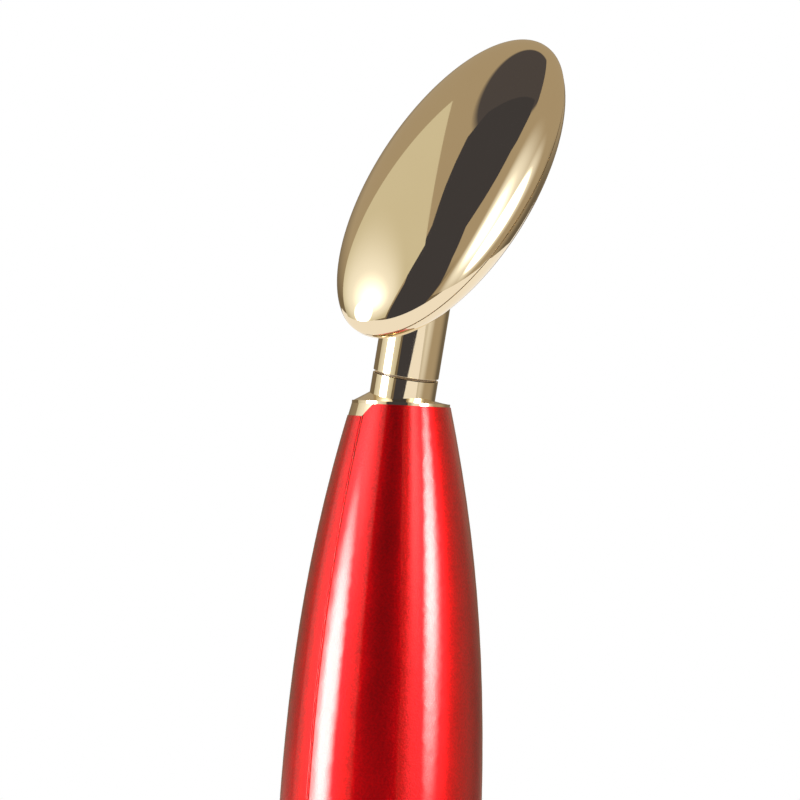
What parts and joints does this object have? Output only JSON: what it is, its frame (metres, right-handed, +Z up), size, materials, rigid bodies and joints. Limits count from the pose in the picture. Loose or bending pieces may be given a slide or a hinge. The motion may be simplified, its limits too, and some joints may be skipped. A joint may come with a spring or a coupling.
{
  "type": "heated eye massager wand",
  "caption": "Slim tapered vibrating wand with a lacquered barrel, leaning neck and swivelling heated oval head; stands on its battery cap.",
  "frame": {"origin": "centre of the flat underside of the base cap, which the wand stands on", "axes": "+Z up the barrel towards the head; -Y is the side with the push button and indicator; +X completes the right-handed frame"},
  "size_m": [0.0253, 0.0228, 0.1437],
  "materials": {
    "gold_plating": "mirror-polished champagne-gold plating",
    "red_lacquer": "candy-red metallic lacquer under clear gloss",
    "black_plastic": "fine moulded black",
    "white_nylon": "natural nylon",
    "dark_washer": "dark acetal",
    "seal_rubber": "soft black silicone rubber",
    "foam_pad": "grey silicone foam",
    "polyimide": "amber polyimide film",
    "brass": "turned brass",
    "spring_steel": "zinc-plated steel",
    "tungsten": "sintered tungsten alloy",
    "motor_steel": "drawn steel can",
    "nickel_strip": "nickel-plated strip",
    "cell_jacket": "plain dark cell jacket",
    "board": "green solder mask",
    "switch_body": "black switch body",
    "led": "pale phosphor",
    "clear_lens": "clear acrylic",
    "lead_jacket": "soft cable jacket",
    "motor_wire": "soft wire jacket"
  },
  "bodies": {
    "handle": {"front_shell": "red_lacquer", "back_shell": "red_lacquer", "neck_collar": "gold_plating", "inner_chassis": "black_plastic", "chassis_screws": "spring_steel", "circuit_board": "board", "board_screws": "spring_steel", "tact_switch": "switch_body", "power_led": "led", "light_pipe": "clear_lens", "control_chip": "switch_body", "boost_coil": "black_plastic", "battery": "cell_jacket", "battery_contact": "nickel_strip", "negative_strip": "nickel_strip", "contact_ring": "brass", "vibration_motor": "motor_steel", "motor_boot": "seal_rubber", "barrel_lead": "lead_jacket", "motor_leads": "motor_wire"},
    "head": {"head_front_shell": "gold_plating", "head_back_cover": "gold_plating", "head_gasket": "seal_rubber", "heater_carrier": "white_nylon", "heater_film": "polyimide", "heater_pad": "foam_pad", "temperature_sensor": "switch_body", "heater_terminal": "white_nylon", "head_lead": "lead_jacket", "swivel_spindle": "brass", "friction_ring": "seal_rubber", "swivel_washer": "dark_washer", "stop_washer": "spring_steel", "spindle_clip": "spring_steel"},
    "rotor": {"motor_shaft": "spring_steel", "eccentric_weight": "tungsten"},
    "button": {"power_button": "gold_plating", "switch_plunger": "white_nylon"},
    "cap": {"base_cap": "red_lacquer", "cap_seal": "seal_rubber", "cap_contact": "brass", "cap_spring": "spring_steel"}
  },
  "joints": [
    {"name": "head_swivel", "type": "hinge", "parent": "handle", "child": "head", "pos_m": [0, 0, 0.105], "axis": [0, -0.1599, 0.9871], "range_deg": [-102, 78]},
    {"name": "button_press", "type": "slide", "parent": "handle", "child": "button", "axis": [0, 1, 0], "range_m": [0, 0.0004], "stiffness_N_per_m": 2000, "springref_m": -0.0003},
    {"name": "motor_spin", "type": "hinge", "parent": "handle", "child": "rotor", "pos_m": [0, 0, 0.0862], "axis": [0, 0, 1], "continuous": true},
    {"name": "cap_pull", "type": "slide", "parent": "handle", "child": "cap", "axis": [0, 0, -1], "range_m": [0, 0.025]}
  ]
}
